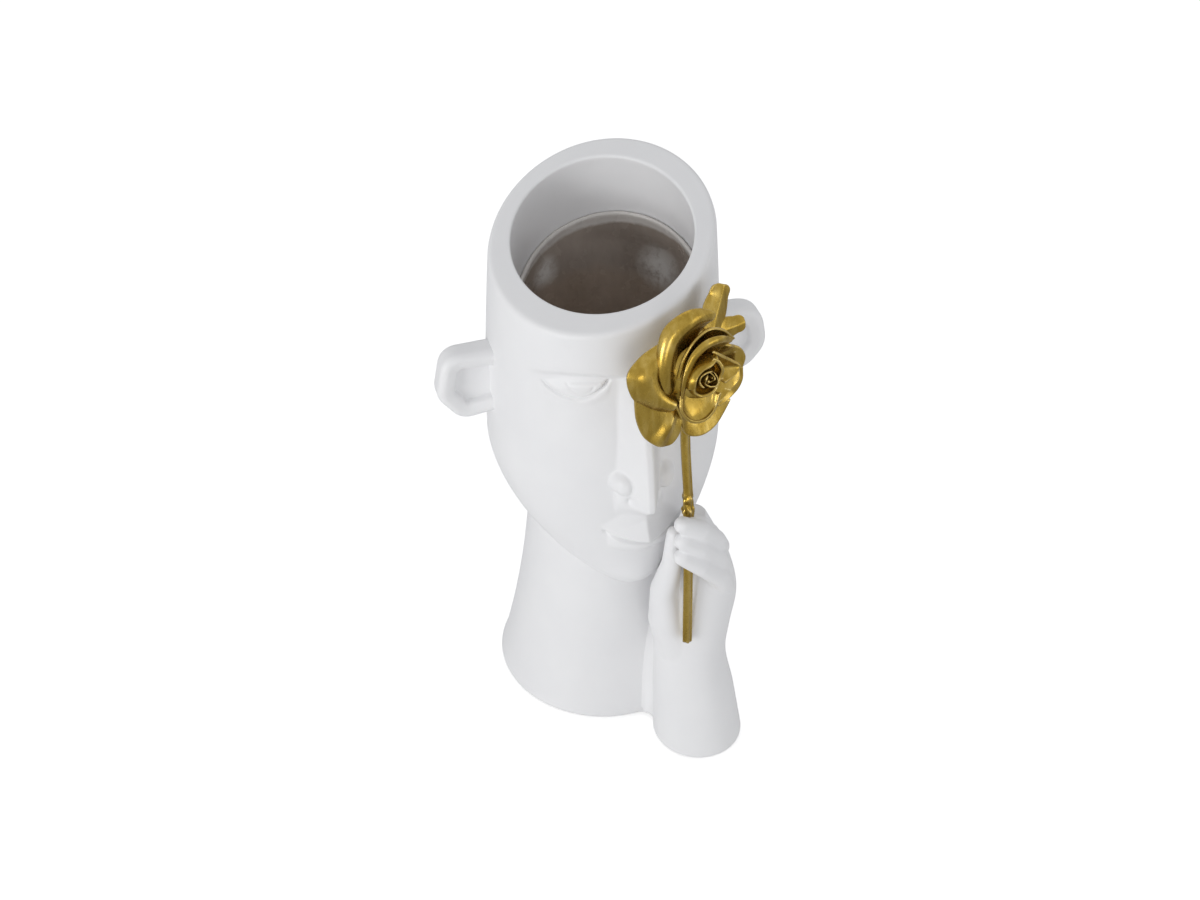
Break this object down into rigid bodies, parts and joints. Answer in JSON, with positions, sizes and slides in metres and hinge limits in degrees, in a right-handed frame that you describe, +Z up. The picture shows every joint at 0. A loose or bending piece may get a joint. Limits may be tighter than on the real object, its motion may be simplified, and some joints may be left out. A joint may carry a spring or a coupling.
{
  "type": "face vase",
  "caption": "Free-standing vase shaped as a stylised head with a slanted open top, ears, a flared neck and a raised hand that holds a rose over one eye.",
  "frame": {"origin": "on the surface that the vase stands on, under the middle of the neck", "axes": "+Z up, the face looks along -Y, +X towards the side with the hand and the rose"},
  "size_m": [0.1904, 0.1802, 0.329],
  "materials": {
    "white_paint": "matte white paint on cast resin",
    "gold_paint": "antique gold paint on cast resin",
    "raw_resin": "glossy unpainted grey-brown resin",
    "felt": "pale felt"
  },
  "bodies": {
    "root": {"head_shell": "white_paint", "neck_pedestal": "white_paint", "right_ear": "white_paint", "left_ear": "white_paint", "forearm_hand": "white_paint", "rose_stem": "gold_paint", "rose_calyx": "gold_paint", "rose_bud": "gold_paint", "inner_petals": "gold_paint", "middle_petals": "gold_paint", "outer_petals": "gold_paint", "rose_leaves": "gold_paint", "cavity_liner": "raw_resin", "base_plate": "white_paint", "base_pads": "felt"}
  },
  "joints": []
}
